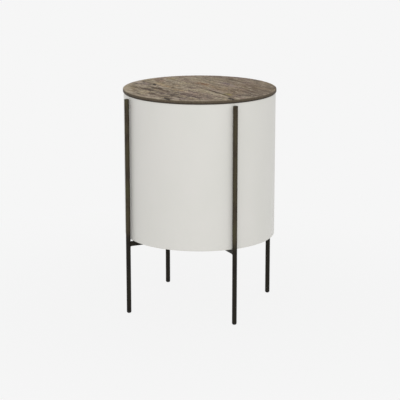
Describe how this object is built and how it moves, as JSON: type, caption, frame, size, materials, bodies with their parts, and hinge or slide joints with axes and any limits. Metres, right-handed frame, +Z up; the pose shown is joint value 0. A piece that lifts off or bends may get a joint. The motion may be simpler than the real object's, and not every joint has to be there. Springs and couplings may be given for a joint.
{
  "type": "drum side table",
  "caption": "Round side table with a weathered plank top on a closed off-white lacquered drum, held off the floor by slim dark rods joined under it by crossed bars.",
  "frame": {"origin": "on the floor under the drum's axis", "axes": "+Z up along the drum's axis, a leg on each of +X, +Y, -X and -Y, planks along Y"},
  "size_m": [0.4424, 0.4424, 0.61],
  "materials": {
    "weathered_wood": "matt, worn grey-brown",
    "white_lacquer": "satin off-white lacquer",
    "bare_board": "sanded plywood",
    "bronzed_steel": "dark bronze, satin",
    "black_nylon": "moulded, matt",
    "soft_bumper": "soft, milky",
    "zinc_steel": "zinc plated",
    "brass": "machined"
  },
  "bodies": {
    "root": {"top_plank_1": "weathered_wood", "top_plank_2": "weathered_wood", "top_plank_3": "weathered_wood", "top_plank_4": "weathered_wood", "top_plank_5": "weathered_wood", "drum_shell": "white_lacquer", "drum_bottom_panel": "white_lacquer", "drum_top_panel": "bare_board", "drum_lower_ring": "bare_board", "leg_right": "bronzed_steel", "leg_back": "bronzed_steel", "leg_left": "bronzed_steel", "leg_front": "bronzed_steel", "cross_bar_left_right": "bronzed_steel", "cross_bar_front_back": "bronzed_steel", "glide_right": "black_nylon", "glide_back": "black_nylon", "glide_left": "black_nylon", "glide_front": "black_nylon", "leg_bumpers": "soft_bumper", "frame_bolts": "zinc_steel", "frame_washers": "zinc_steel", "bar_spacers": "zinc_steel", "panel_screws": "zinc_steel", "top_screws": "zinc_steel", "threaded_inserts": "brass"}
  },
  "joints": []
}
